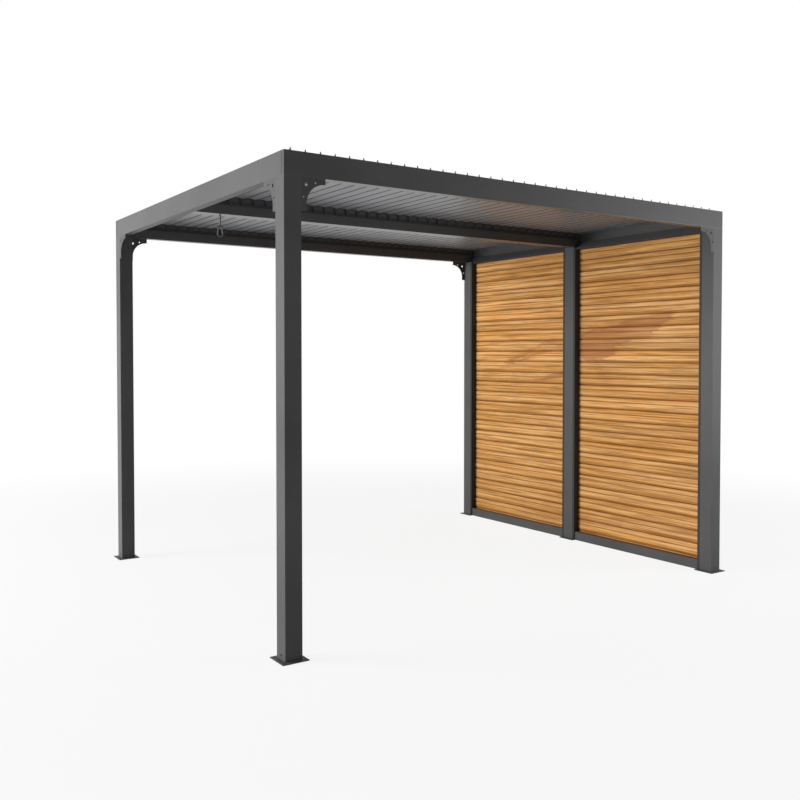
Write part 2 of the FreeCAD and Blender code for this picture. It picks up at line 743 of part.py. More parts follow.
# Crank drive: a gearbox inside the middle beam and the eye that hangs from it
crank_x = "-length / 2 + crank_from_left"
gearbox_floor = MID_BEAM_FOOT + " + beam_wall"
gearbox_block = box(
    "gearbox_block",
    (crank_x + " - gearbox_size / 2", "-gearbox_size / 2", gearbox_floor),
    ("gearbox_size", "gearbox_size", "gearbox_height"),
)
gearbox_bore = cylinder(
    "gearbox_bore",
    "crank_rod_dia + 2 * crank_play",
    "crank_rod_inside + crank_play",
    (crank_x, "0", gearbox_floor),
)
keep(cut("gearbox_shape", gearbox_block, [gearbox_bore]), "crank_gearbox")


# The eye: a pear-shaped ring of wire under a straight round rod
def crank_eye():
    top_radius = (value("eye_top_width") - value("eye_wire")) / 2
    foot_radius = (value("eye_foot_width") - value("eye_wire")) / 2
    wire_radius = value("eye_wire") / 2
    span = value("eye_height") - value("eye_wire") - top_radius - foot_radius
    top_z = -top_radius - wire_radius
    foot_z = top_z - span
    # The straight sides touch both arcs, so they leave them at this lean.
    lean = (foot_radius - top_radius) / span
    upright = (1 - lean * lean) ** 0.5

    def on_arc(centre_z, radius, side):
        return FreeCAD.Vector(side * radius * upright, 0, centre_z + radius * lean)

    crown = FreeCAD.Vector(0, 0, top_z + top_radius)
    heel = FreeCAD.Vector(0, 0, foot_z - foot_radius)
    path = Part.Wire([
        Part.Arc(on_arc(top_z, top_radius, -1), crown, on_arc(top_z, top_radius, 1)).toShape(),
        Part.LineSegment(on_arc(top_z, top_radius, 1), on_arc(foot_z, foot_radius, 1)).toShape(),
        Part.Arc(on_arc(foot_z, foot_radius, 1), heel, on_arc(foot_z, foot_radius, -1)).toShape(),
        Part.LineSegment(on_arc(foot_z, foot_radius, -1), on_arc(top_z, top_radius, -1)).toShape(),
    ])
    # Six-sided section at the foot of the right side, square to it
    start = on_arc(foot_z, foot_radius, 1)
    sideways = FreeCAD.Vector(upright, 0, lean)
    across = FreeCAD.Vector(0, 1, 0)
    sides = 6
    ring_points = []
    for i in range(sides + 1):
        turn = 2 * math.pi * (i + 0.5) / sides
        ring_points.append(start + (sideways * math.cos(turn) + across * math.sin(turn)) * wire_radius)
    ring = path.makePipeShell([Part.makePolygon(ring_points)], True, True)
    rod_run = value("crank_rod_drop") + value("beam_wall") + value("crank_rod_inside")
    rod = Part.makeCylinder(value("crank_rod_dia") / 2, rod_run + wire_radius, FreeCAD.Vector(0, 0, -wire_radius))
    return ring.fuse(rod).removeSplitter()


eye = doc.addObject("Part::Feature", "crank_eye_shape")
eye.Shape = crank_eye()
place(eye, crank_x, "0", MID_BEAM_FOOT + " - crank_rod_drop")
keep(eye, "crank_eye")

doc.recompute()

# Nothing is written unless every object and every shape is sound.
for item in doc.Objects:
    if "Invalid" in item.State or "Error" in item.State:
        raise RuntimeError("%s: %s" % (item.Name, item.State))
for node in nodes:
    if node.Shape.isNull() or not node.Shape.isValid():
        raise RuntimeError("bad shape: " + node.Label)
for node in nodes:
    node.Shape.exportStep("parts/%s.step" % node.Label)
    print(node.Label, len(node.Shape.Solids), round(node.Shape.Volume / 1000), "cm3")
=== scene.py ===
"""Looks of the louvered pergola: boards, seals, screws, crank eye, finishes and a plain studio.

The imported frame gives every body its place. Lengths are metres, +X runs along the long front,
+Y to the back and +Z up.
"""

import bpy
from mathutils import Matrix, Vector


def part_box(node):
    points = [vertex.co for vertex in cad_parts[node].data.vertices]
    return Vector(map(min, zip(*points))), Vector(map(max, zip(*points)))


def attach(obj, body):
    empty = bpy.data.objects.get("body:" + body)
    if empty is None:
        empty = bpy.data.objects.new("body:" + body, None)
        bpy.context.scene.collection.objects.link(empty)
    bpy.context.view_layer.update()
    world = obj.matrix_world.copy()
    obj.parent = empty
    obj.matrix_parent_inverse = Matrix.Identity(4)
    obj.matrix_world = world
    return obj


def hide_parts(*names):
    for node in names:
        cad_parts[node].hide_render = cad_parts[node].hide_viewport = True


bl_info = {
    "name": "Louvered pergola",
    "version": (1, 0, 0),
    "blender": (4, 5, 0),
    "location": "3D View > Sidebar > Pergola",
    "description": "Boards, seals, screws, finishes and studio for a louvered pergola",
    "category": "Object",
}

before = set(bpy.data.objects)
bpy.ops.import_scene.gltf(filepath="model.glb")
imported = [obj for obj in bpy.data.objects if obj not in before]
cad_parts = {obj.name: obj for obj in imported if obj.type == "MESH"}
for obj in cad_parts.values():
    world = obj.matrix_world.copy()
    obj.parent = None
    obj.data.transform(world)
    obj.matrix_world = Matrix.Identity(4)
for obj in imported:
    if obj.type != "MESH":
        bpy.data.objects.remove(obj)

import math

import bmesh
import bpy
from bpy.props import FloatProperty, FloatVectorProperty, IntProperty, PointerProperty
from mathutils import Vector

CORNER_POSTS = ("post_front_left", "post_back_left", "post_front_right", "post_back_right")
POSTS = CORNER_POSTS + ("post_middle",)
LONG_BEAMS = ("beam_front", "beam_back", "beam_middle")
SIDE_BEAMS = ("beam_left", "beam_right")
PANELS = ("wall_panel_front", "wall_panel_back")
LOUVRES = tuple(sorted(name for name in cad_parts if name.startswith("louvre_")))

# The long reddish leaf in the wall's grain: place along Y, height and half width, in metres
LEAF = (
    (-1.04, 1.745, 0.004), (-0.93, 1.72, 0.035), (-0.78, 1.65, 0.080), (-0.54, 1.61, 0.085),
    (-0.41, 1.56, 0.115), (-0.25, 1.53, 0.125), (-0.09, 1.51, 0.105), (0.11, 1.55, 0.040),
    (0.28, 1.53, 0.036), (0.44, 1.485, 0.032), (0.60, 1.44, 0.026), (0.69, 1.42, 0.034),
    (0.79, 1.40, 0.026), (0.86, 1.40, 0.0),
)
# Its thin tail in the back bay: height and half width at y = 0, and how both fall along Y
TAIL_HEIGHT, TAIL_FALL = 1.31, 0.19
TAIL_HALF, TAIL_TAPER = 0.036, 0.085

# Noise scales of the coats: clouds, orange peel, drawn lines and specks
CLOUD, PEEL, DRAWN, SPECK = 2.3, 260.0, 420.0, 900.0
# The seam at a lapped corner, a line of painted shade: where its dark line is full and where it ends, and
# its colour
SEAM_FULL, SEAM_END, SEAM_SHADE_COLOUR = 0.006, 0.011, (0.01, 0.01, 0.01)
# Clear coat of the rubbed undersides
POLISH_WEIGHT, POLISH_ROUGHNESS = 0.6, 0.3
# How far past a face a limit in a coat lies, so that the face itself is inside it
FACE_MARGIN = 0.001

# Edges sharper than this stay sharp, on boards and on round parts
BOARD_EDGE = math.radians(24)
ROUND_EDGE = math.radians(40)
# Sides of the round parts, and steps along each arc of the eye
HEAD_SIDES, WIRE_SIDES, ROD_SIDES, ARC_STEPS = 12, 14, 20, 14

# The lamps: name, power in StudioSizes, place, aim, width and height
LAMPS = (
    ("left_light", "key", (-8.3, 3.0, 2.2), (0.3, 0.0, 1.3), 4.2, 3.0),
    ("right_light", "fill", (4.8, -4.3, 1.9), (1.2, -1.3, 1.5), 2.2, 2.8),
    ("top_light", "top", (0.0, -1.0, 7.5), (0.0, 0.0, 0.0), 7.0, 7.0),
)


# Sizes and colours

class WallSizes(bpy.types.PropertyGroup):
    pitch: FloatProperty(
        name="Board pitch", description="Height that one board covers",
        default=0.088, min=0.04, max=0.2, unit="LENGTH")
    first_joint: FloatProperty(
        name="First joint", description="Height of the lowest joint between two boards",
        default=0.073, min=0.0, unit="LENGTH")
    joint_depth: FloatProperty(
        name="Joint depth", description="Depth of the groove between two boards",
        default=0.009, min=0.0, max=0.011, unit="LENGTH")
    reed_depth: FloatProperty(
        name="Reed depth", description="Depth of the groove along a board's middle",
        default=0.0036, min=0.0, max=0.01, unit="LENGTH")
    unevenness: FloatProperty(
        name="Unevenness", description="How far a board may sit back from its neighbours",
        default=0.0005, min=0.0, max=0.002, unit="LENGTH")
    seed: IntProperty(
        name="Seed", description="Picks the boards' small differences", default=7)
    light_wood: FloatVectorProperty(
        name="Light wood", description="Colour of the light grain",
        subtype="COLOR", size=3, min=0.0, max=1.0, default=(0.86, 0.48, 0.18))
    warm_wood: FloatVectorProperty(
        name="Warm wood", description="Colour of the broad bands in the grain",
        subtype="COLOR", size=3, min=0.0, max=1.0, default=(0.72, 0.35, 0.095))
    # Dark colour of the fine grain lines, also used for the painted shade in the boards' grooves and on
    # their sloped lower band.
    dark_grain_and_groove_shade: FloatVectorProperty(
        name="Dark wood", description="Colour of the fine dark lines and of the joints",
        subtype="COLOR", size=3, min=0.0, max=1.0, default=(0.165, 0.05, 0.006))
    red_wood: FloatVectorProperty(
        name="Heart wood", description="Colour of the reddish leaf that crosses several boards",
        subtype="COLOR", size=3, min=0.0, max=1.0, default=(0.36, 0.13, 0.05))


class CoatSizes(bpy.types.PropertyGroup):
    coat: FloatVectorProperty(
        name="Frame coat", description="Powder coat of the posts, beams, plates and bottom rails",
        subtype="COLOR", size=3, min=0.0, max=1.0, default=(0.081, 0.081, 0.081))
    bracket: FloatVectorProperty(
        name="Bracket coat", description="Powder coat of the corner brackets",
        subtype="COLOR", size=3, min=0.0, max=1.0, default=(0.068, 0.068, 0.068))
    shade: FloatVectorProperty(
        name="Inner coat", description="Coat of the pivot rails and the gearbox",
        subtype="COLOR", size=3, min=0.0, max=1.0, default=(0.042, 0.042, 0.042))
    louvre: FloatVectorProperty(
        name="Louvre coat", description="Pale coat of the louvres' sheets",
        subtype="COLOR", size=3, min=0.0, max=1.0, default=(0.285, 0.299, 0.317))
    lug: FloatVectorProperty(
        name="Lug coat", description="Dark coat of the lugs and pins under the sheets",
        subtype="COLOR", size=3, min=0.0, max=1.0, default=(0.05, 0.052, 0.055))
    crank: FloatVectorProperty(
        name="Crank coat", description="Dark coat of the crank's rod and eye",
        subtype="COLOR", size=3, min=0.0, max=1.0, default=(0.05, 0.05, 0.053))
    # Painted shade: the channels, the top rails and the side beams' inner faces are coloured darker for
    # the shade that falls on them.
    channel: FloatVectorProperty(
        name="Channel coat", description="Darker coat of the channels, top rails and beam linings",
        subtype="COLOR", size=3, min=0.0, max=1.0, default=(0.038, 0.038, 0.039))
    screw: FloatVectorProperty(
        name="Screw", description="Blackened screw heads",
        subtype="COLOR", size=3, min=0.0, max=1.0, default=(0.03, 0.03, 0.032))


class RoofSizes(bpy.types.PropertyGroup):
    strip_width: FloatProperty(
        name="Strip width", description="Width of the closing strip at the right end",
        default=0.0411, min=0.01, unit="LENGTH")
    strip_sheet: FloatProperty(
        name="Strip sheet", description="Thickness of a closing strip",
        default=0.002, min=0.0005, unit="LENGTH")
    seal_overhang: FloatProperty(
        name="Seal overhang", description="How far the seal reaches past its strip",
        default=0.0038, min=0.0, max=0.006, unit="LENGTH")
    seal_foot: FloatProperty(
        name="Seal foot", description="Width of the seal on the strip",
        default=0.0095, min=0.004, unit="LENGTH")
    seal_height: FloatProperty(
        name="Seal height", description="Height of the seal above the strip",
        default=0.0055, min=0.002, max=0.006, unit="LENGTH")
    seal_sheet: FloatProperty(
        name="Seal sheet", description="Thickness of the seal and the gaskets",
        default=0.0014, min=0.0005, unit="LENGTH")
    gasket_reach: FloatProperty(
        name="Gasket reach", description="How far a gasket reaches from its beam to the louvres' ends",
        default=0.003, min=0.002, max=0.006, unit="LENGTH")
    gasket_web: FloatProperty(
        name="Gasket web", description="Height of a gasket on its beam",
        default=0.009, min=0.004, unit="LENGTH")
    gasket_rise: FloatProperty(
        name="Gasket rise", description="Top of a gasket above the top of its beam",
        default=0.0015, min=0.0, unit="LENGTH")
    gasket_inset: FloatProperty(
        name="Gasket inset", description="Left end of a pivot rail to the left end of its gasket",
        default=0.006, min=0.0, unit="LENGTH")
    # Painted shade: half width of the dark line drawn under the joint of two louvres.
    joint_shade: FloatProperty(
        name="Joint shade", description="Half width of the dark line under the joint of two louvres",
        default=0.0065, min=0.0, unit="LENGTH")


class FasteningSizes(bpy.types.PropertyGroup):
    head_radius: FloatProperty(
        name="Head radius", description="Radius of a button head",
        default=0.006, min=0.002, unit="LENGTH")
    head_height: FloatProperty(
        name="Head height", description="Height of a button head above the post",
        default=0.0033, min=0.001, unit="LENGTH")
    foot_height: FloatProperty(
        name="Foot screw height", description="Height of the screws near the posts' feet",
        default=0.03, min=0.02, unit="LENGTH")


class CrankSizes(bpy.types.PropertyGroup):
    wire: FloatProperty(
        name="Wire", description="Thickness of the eye's wire", default=0.008, min=0.002, unit="LENGTH")
    rod: FloatProperty(
        name="Rod", description="Thickness of the rod", default=0.009, min=0.002, unit="LENGTH")
    eye_height: FloatProperty(
        name="Eye height", description="Height of the eye", default=0.072, min=0.03, unit="LENGTH")
    eye_taper: FloatProperty(
        name="Eye taper", description="Radius of the eye's top arc, as a share of its lower arc's",
        default=0.645, min=0.1, max=1.0)


class StudioSizes(bpy.types.PropertyGroup):
    camera_place: FloatVectorProperty(
        name="Camera", description="Place of the camera", subtype="TRANSLATION", size=3,
        unit="LENGTH", default=(-3.4678, -5.0668, 1.4465))
    camera_turn: FloatProperty(
        name="Turn", description="Camera's turn from +Y towards +X",
        subtype="ANGLE", default=0.59032)
    camera_tip: FloatProperty(
        name="Tip", description="Camera's tip below the level",
        subtype="ANGLE", default=0.025223)
    lens: FloatProperty(
        name="Lens", description="Focal length", subtype="DISTANCE_CAMERA", default=40.019)
    camera_shift: FloatProperty(
        name="Shift", description="Upward shift of the picture, as a share of its width",
        default=-0.02795)
    floor_size: FloatProperty(
        name="Floor", description="Side of the square floor", default=60.0, unit="LENGTH")
    shadow_reach: FloatProperty(
        name="Shadow reach", description="Distance from the middle where the floor turns plain white",
        default=7.0, unit="LENGTH")
    shadow_core: FloatProperty(
        name="Shadow core", description="Share of the reach within which the shadow is full",
        default=0.4)
    whiteness: FloatProperty(
        name="Whiteness", description="Share of plain white in the floor round the object", default=0.88)
    floor: FloatVectorProperty(
        name="Floor colour", description="Colour of the floor",
        subtype="COLOR", size=3, min=0.0, max=1.0, default=(0.84, 0.84, 0.84))
    key: FloatProperty(
        name="Left light", description="Power of the soft light on the left",
        default=940.0, unit="POWER")
    fill: FloatProperty(
        name="Right light", description="Power of the soft light on the right",
        default=165.0, unit="POWER")
    top: FloatProperty(
        name="Top light", description="Power of the soft light above", default=80.0, unit="POWER")
    sky: FloatProperty(
        name="Surroundings", description="Strength of the even light all round", default=0.05)


# Node trees

class Number:
    """A number in a node tree. Arithmetic on it adds Math nodes."""

    def __init__(self, recipe, socket):
        self.recipe = recipe
        self.socket = socket

    def __add__(self, other):
        return self.recipe.math("ADD", self, other)

    def __sub__(self, other):
        return self.recipe.math("SUBTRACT", self, other)

    def __rsub__(self, other):
        return self.recipe.math("SUBTRACT", other, self)

    def __mul__(self, other):
        return self.recipe.math("MULTIPLY", self, other)

    def __truediv__(self, other):
        return self.recipe.math("DIVIDE", self, other)

    __radd__ = __add__
    __rmul__ = __mul__


class Recipe:
    """Fills a shader or geometry node tree."""

    def __init__(self, tree):
        self.tree = tree

    def add(self, kind, settings=None, inputs=None):
        """Adds a node. Its settings come first, then a value or a link for each input socket."""
        node = self.tree.nodes.new(kind)
        for name, setting in (settings or {}).items():
            if name == "stops":
                self.set_stops(node.color_ramp, setting)
            else:
                setattr(node, name, setting)
        for name, source in (inputs or {}).items():
            self.feed(node.inputs[name], source)
        return node

    def set_stops(self, ramp, stops):
        while len(ramp.elements) < len(stops):
            ramp.elements.new(1.0)
        for element, (place, shade) in zip(ramp.elements, stops):
            element.position = place
            element.color = (*shade, 1.0) if isinstance(shade, tuple) else (shade, shade, shade, 1.0)

    def feed(self, socket, source):
        if isinstance(source, Number):
            source = source.socket
        if isinstance(source, bpy.types.NodeSocket):
            self.tree.links.new(source, socket)
        elif socket.type == "RGBA":
            socket.default_value = (*source[:3], 1.0)
        else:
            socket.default_value = source

    def math(self, operation, *values):
        node = self.add("ShaderNodeMath", {"operation": operation}, dict(enumerate(values)))
        return Number(self, node.outputs[0])

    def vector(self, x, y, z):
        return self.add("ShaderNodeCombineXYZ", None, {"X": x, "Y": y, "Z": z}).outputs[0]

    def place(self):
        """The object's own x, y and z."""
        spot = self.add("ShaderNodeTexCoord").outputs["Object"]
        split = self.add("ShaderNodeSeparateXYZ", None, {"Vector": spot})
        return [Number(self, split.outputs[axis]) for axis in "XYZ"]

    def noise(self, x, y, z, detail=3.0, roughness=0.5, distortion=0.0):
        node = self.add("ShaderNodeTexNoise", None, {
            "Vector": self.vector(x, y, z),
            "Scale": 1.0,
            "Detail": detail,
            "Roughness": roughness,
            "Distortion": distortion,
        })
        return Number(self, node.outputs[0])

    def between(self, value, low, high, start=0.0, end=1.0):
        """Goes smoothly from start to end as value goes from low to high."""
        node = self.add(
            "ShaderNodeMapRange", {"interpolation_type": "SMOOTHSTEP"},
            {"Value": value, "From Min": low, "From Max": high, "To Min": start, "To Max": end})
        return Number(self, node.outputs["Result"])

    def blend(self, share, first, second):
        """Colour that goes from first to second as share goes from 0 to 1."""
        node = self.add("ShaderNodeMix", {"data_type": "RGBA"})
        self.feed(node.inputs[0], share)
        self.feed(node.inputs[6], first)
        self.feed(node.inputs[7], second)
        return node.outputs[2]

    def bump(self, height, depth, strength):
        node = self.add("ShaderNodeBump", None, {
            "Height": height, "Distance": depth, "Strength": strength})
        return node.outputs["Normal"]


def new_material(name):
    material = bpy.data.materials.new(name)
    material.use_nodes = True
    recipe = Recipe(material.node_tree)
    return material, recipe, material.node_tree.nodes["Principled BSDF"]


def tinted(colour, factor):
    return [min(1.0, part * factor) for part in colour]


def powder_coat(name, colour, roughness, gloss=0.15, seam=None, painted_inner_shade=None, polish=None):
    """Fine matt powder coat: a faint orange-peel skin over an even colour.

    A seam is a dark line of painted shade, for the gap of the seam, at that distance from the middle
    along Y. A distance from the middle along X, given with a darker colour, paints shade on the faces
    nearer than that. Below the height of the polish the coat is rubbed smooth.
    """
    material, recipe, surface = new_material(name)
    x, y, z = recipe.place()
    cloud = recipe.noise(x * CLOUD, y * CLOUD, z * CLOUD, detail=4.0)
    speck = recipe.noise(x * SPECK, y * SPECK, z * SPECK, detail=1.0)
    peel = recipe.noise(x * PEEL, y * PEEL, z * PEEL, detail=2.0)
    tone = recipe.between(cloud * 0.8 + speck * 0.2, 0.30, 0.70)
    coat = recipe.blend(tone, tinted(colour, 0.90), tinted(colour, 1.12))
    # Painted shade: a near-black line for the gap of the seam.
    if seam is not None:
        inwards = seam - recipe.math("ABSOLUTE", y)
        line = recipe.between(inwards, SEAM_FULL, SEAM_END, 1.0, 0.0)
        coat = recipe.blend(line * 0.8, coat, SEAM_SHADE_COLOUR)
    # Painted shade: faces nearer the middle along X than the given distance take the darker colour.
    if painted_inner_shade is not None:
        reach, inner = painted_inner_shade
        near = recipe.math("LESS_THAN", recipe.math("ABSOLUTE", x), reach)
        coat = recipe.blend(near, coat, recipe.blend(tone, tinted(inner, 0.90), inner))
    if polish is not None:
        rubbed = recipe.math("LESS_THAN", z, polish)
        recipe.feed(surface.inputs["Coat Weight"], rubbed * POLISH_WEIGHT)
        surface.inputs["Coat Roughness"].default_value = POLISH_ROUGHNESS
    recipe.feed(surface.inputs["Base Color"], coat)
    recipe.feed(surface.inputs["Roughness"], roughness + (cloud - 0.5) * 0.10 + (speck - 0.5) * 0.08)
    surface.inputs["Specular IOR Level"].default_value = gloss
    recipe.feed(surface.inputs["Normal"], recipe.bump(peel * 0.7 + speck * 0.3, 0.0004, 0.25))
    return material


def louvre_coat(name, colour, lug, underside, shade):
    """Satin coat on an extrusion: faint draw lines run along the louvre.

    Below the sheet it is dark, and the line where two louvres meet carries painted shade of their seam.
    """
    material, recipe, surface = new_material(name)
    x, y, z = recipe.place()
    first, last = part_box(LOUVRES[0])[0].x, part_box(LOUVRES[-1])[0].x
    pitch = (last - first) / (len(LOUVRES) - 1)
    turn = recipe.math("FRACT", (x - first) / pitch + 0.5)
    aside = recipe.math("ABSOLUTE", turn - 0.5) * pitch
    lines = recipe.noise(x * DRAWN, y * 1.5, z * DRAWN, detail=2.0)
    cloud = recipe.noise(x * 3.0, y * 1.2, z * 3.0, detail=3.0)
    speck = recipe.noise(x * SPECK, y * SPECK, z * SPECK, detail=1.0)
    tone = recipe.between(cloud * 0.6 + lines * 0.4, 0.32, 0.68)
    sheet = recipe.math("GREATER_THAN", z, underside - 0.0005)
    # Painted shade: a dark line along the joint where two louvres meet.
    joint = recipe.between(aside, shade * 0.6, shade * 1.4, 1.0, 0.0)
    coat = recipe.blend(tone, tinted(colour, 0.90), tinted(colour, 1.10))
    coat = recipe.blend(joint * 0.75, coat, lug)
    coat = recipe.blend(sheet, lug, coat)
    recipe.feed(surface.inputs["Base Color"], coat)
    recipe.feed(surface.inputs["Roughness"], 0.40 + (lines - 0.5) * 0.12 + (speck - 0.5) * 0.06)
    recipe.feed(surface.inputs["Metallic"], sheet * 0.2)
    surface.inputs["Specular IOR Level"].default_value = 0.2
    recipe.feed(surface.inputs["Normal"], recipe.bump(lines * 0.7 + speck * 0.3, 0.0003, 0.2))
    return material


def leaf_figure(recipe, y, z):
    """Share of the reddish leaf: 1 inside its frayed outline, less in its core, and 0 outside."""
    first, last = LEAF[0][0], LEAF[-1][0]
    run = last - first
    stops = [((along - first) / run, (height / 2, half, 0.0)) for along, height, half in LEAF]
    line = recipe.add("ShaderNodeValToRGB", {"stops": stops}, {"Fac": (y - first) / run})
    split = recipe.add("ShaderNodeSeparateColor", None, {"Color": line.outputs["Color"]})
    middle = Number(recipe, split.outputs[0]) * 2.0
    half = Number(recipe, split.outputs[1])
    fray = recipe.noise(0.7, y * 5.0, z * 13.0, detail=3.0)
    off = recipe.math("ABSOLUTE", z + (fray - 0.5) * 0.09 - middle) - half
    paler = recipe.between(y, -0.1, 0.1, 0.15, 0.75)
    core = recipe.between(off, -0.030, -0.014, 1.0, 0.0) * paler
    leaf = recipe.between(off, -0.012, 0.012, 1.0, 0.0) * recipe.between(half, 0.0, 0.02)
    leaf = leaf * (1.0 - core)
    tail = recipe.math("ABSOLUTE", z + (fray - 0.5) * 0.05 + y * TAIL_FALL - TAIL_HEIGHT)
    tail = tail + y * TAIL_TAPER - TAIL_HALF
    tail = recipe.between(tail, -0.01, 0.01, 1.0, 0.0) * recipe.math("GREATER_THAN", y, 0.0)
    return recipe.math("MAXIMUM", leaf, tail)


def board_wood(wall):
    """Oiled slats: long grain, one tone a board, and a reddish leaf that crosses several boards."""
    material, recipe, surface = new_material("board_wood")
    x, y, z = recipe.place()
    rise = (z - wall.first_joint) / wall.pitch
    board = recipe.math("FLOOR", rise)
    share = rise - board
    bay = recipe.math("GREATER_THAN", y, 0.0)
    own = recipe.add("ShaderNodeTexWhiteNoise", {"noise_dimensions": "3D"}, {
        "Vector": recipe.vector(board, bay * 5.0, 1.3)})
    tone = Number(recipe, own.outputs["Value"])
    fine = recipe.noise(x * 40.0, y * 2.6 + tone * 31.0, z * 170.0, detail=5.0, roughness=0.6)
    broad = recipe.noise(x * 6.0, y * 0.9 + tone * 7.0, z * 30.0, detail=3.0, distortion=0.4)
    streak = recipe.noise(x * 9.0, y * 1.5 + tone * 13.0, z * 85.0, detail=4.0, roughness=0.65)
    wide = recipe.noise(3.1, y * 1.3 + z * 0.7, z * 2.4 - y * 0.5, detail=4.0, distortion=0.6)
    flame = leaf_figure(recipe, y + (tone - 0.5) * 0.12 + (streak - 0.5) * 0.35, z)
    faint = recipe.between(wide, 0.60, 0.68) * 0.35
    lines = recipe.between(fine, 0.44, 0.66)
    # Painted shade: the joints, the sloped band just above each joint and the reed are darkened for the
    # shade in the grooves and on the down-facing band; the joints' darkness is partly the wood's own dark
    # joint colour.
    joint = recipe.between(share, 0.0, 0.05, 1.0, 0.0) + recipe.between(share, 0.90, 1.0)
    below = recipe.between(share, 0.14, 0.21, 1.0, 0.0)
    reed = recipe.between(share, 0.53, 0.59) * recipe.between(share, 0.60, 0.67, 1.0, 0.0)
    colour = recipe.blend(recipe.between(broad, 0.36, 0.66), wall.light_wood, wall.warm_wood)
    colour = recipe.blend(recipe.between(streak, 0.47, 0.62) * 0.40, colour, wall.dark_grain_and_groove_shade)
    colour = recipe.blend(lines * 0.50, colour, wall.dark_grain_and_groove_shade)
    redness = flame * (0.42 + broad * 0.50) * (1.0 - bay * 0.12) + faint * broad
    colour = recipe.blend(redness, colour, wall.red_wood)
    colour = recipe.blend(joint * 0.68 + below * 0.42 + reed * 0.64, colour, wall.dark_grain_and_groove_shade)
    lit = recipe.add("ShaderNodeVectorMath", {"operation": "SCALE"}, {
        0: colour, "Scale": 0.90 + tone * 0.18})
    recipe.feed(surface.inputs["Base Color"], lit.outputs[0])
    recipe.feed(surface.inputs["Roughness"], 0.48 + (fine - 0.5) * 0.25)
    surface.inputs["Specular IOR Level"].default_value = 0.12
    recipe.feed(surface.inputs["Normal"], recipe.bump(fine, 0.0008, 0.3))
    return material


def paint_nodes(names, material):
    """Gives CAD nodes a finish through their material slots."""
    for name in names:
        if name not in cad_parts:
            raise RuntimeError("the frame has no node " + name)
        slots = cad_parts[name].data.materials
        slots.clear()
        slots.append(material)


# Meshes

def new_piece(name, mesh, material=None):
    piece = bpy.data.objects.new(name, mesh)
    bpy.context.scene.collection.objects.link(piece)
    if material is not None:
        mesh.materials.append(material)
    return piece


def mesh_from(name, build):
    """Makes a mesh with build, a function that fills a bmesh, and turns its faces outwards."""
    shape = bmesh.new()
    build(shape)
    bmesh.ops.recalc_face_normals(shape, faces=shape.faces)
    mesh = bpy.data.meshes.new(name)
    shape.to_mesh(mesh)
    shape.free()
    return mesh


def band(shape, one, two):
    """Faces between two rings that have as many vertices."""
    for i in range(len(one)):
        j = (i + 1) % len(one)
        shape.faces.new((one[i], one[j], two[j], two[i]))


def prism(shape, outlines):
    """A closed bar between two like outlines."""
    near, far = [[shape.verts.new(point) for point in outline] for outline in outlines]
    shape.faces.new(near)
    shape.faces.new(reversed(far))
    band(shape, near, far)


def circle(sides):
    """Points on a circle of radius 1, as (cosine, sine) pairs."""
    turns = [2 * math.pi * i / sides for i in range(sides)]
    return [(math.cos(turn), math.sin(turn)) for turn in turns]


def turned(shape, centre, profile, sides):
    """A closed form turned about an upright line through centre, from (radius, height) pairs."""
    rows = []
    for radius, height in profile:
        rows.append([shape.verts.new((centre.x + radius * cos, centre.y + radius * sin, height))
                     for cos, sin in circle(sides)])
    for lower, upper in zip(rows, rows[1:]):
        band(shape, lower, upper)
    shape.faces.new(reversed(rows[0]))
    shape.faces.new(rows[-1])


def smooth_below(mesh, angle):
    for face in mesh.polygons:
        face.use_smooth = True
    mesh.set_sharp_from_angle(angle=angle)


def set_modifier(piece, tree, values):
    """Adds a geometry modifier and sets its inputs, which are given by name."""
    modifier = piece.modifiers.new(tree.name, "NODES")
    modifier.node_group = tree
    sockets = {item.name: item.identifier for item in tree.interface.items_tree
               if item.item_type == "SOCKET" and item.in_out == "INPUT"}
    for name, value in values.items():
        modifier[sockets[name]] = value


def bake_piece(source, name):
    """The plain mesh that the modifiers of source make, as a new piece. The source goes."""
    bpy.context.view_layer.update()
    graph = bpy.context.evaluated_depsgraph_get()
    mesh = bpy.data.meshes.new_from_object(source.evaluated_get(graph), depsgraph=graph)
    mesh.name = name
    bpy.data.objects.remove(source)
    return new_piece(name, mesh)


def geometry_tree(name, inputs):
    """Starts a geometry tree. Returns its recipe, its inputs and a function that ends it."""
    tree = bpy.data.node_groups.new(name, "GeometryNodeTree")
    tree.interface.new_socket(name="Geometry", in_out="INPUT", socket_type="NodeSocketGeometry")
    for label, kind in inputs:
        tree.interface.new_socket(name=label, in_out="INPUT", socket_type=kind)
    tree.interface.new_socket(name="Geometry", in_out="OUTPUT", socket_type="NodeSocketGeometry")
    recipe = Recipe(tree)
    given = recipe.add("NodeGroupInput").outputs

    def end(geometry, material):
        real = recipe.add("GeometryNodeRealizeInstances", None, {"Geometry": geometry})
        dressed = recipe.add("GeometryNodeSetMaterial", None, {
            "Geometry": real.outputs[0], "Material": material})
        recipe.add("NodeGroupOutput", None, {"Geometry": dressed.outputs[0]})

    return recipe, given, end


# The slatted wall

def board_section(wall):
    """Share of a board's height, and depth behind the wall's face there."""
    joint, reed = wall.joint_depth, wall.reed_depth
    return [
        (0.000, joint), (0.025, joint * 0.94), (0.055, joint * 0.58), (0.180, joint * 0.14),
        (0.215, joint * 0.03), (0.250, 0.0), (0.490, 0.0), (0.525, reed * 0.16),
        (0.570, reed * 0.85), (0.600, reed), (0.645, reed * 0.28), (0.680, reed * 0.05),
        (0.715, 0.0), (0.875, 0.0), (0.910, joint * 0.07), (0.955, joint * 0.40),
        (0.985, joint * 0.85), (1.000, joint),
    ]


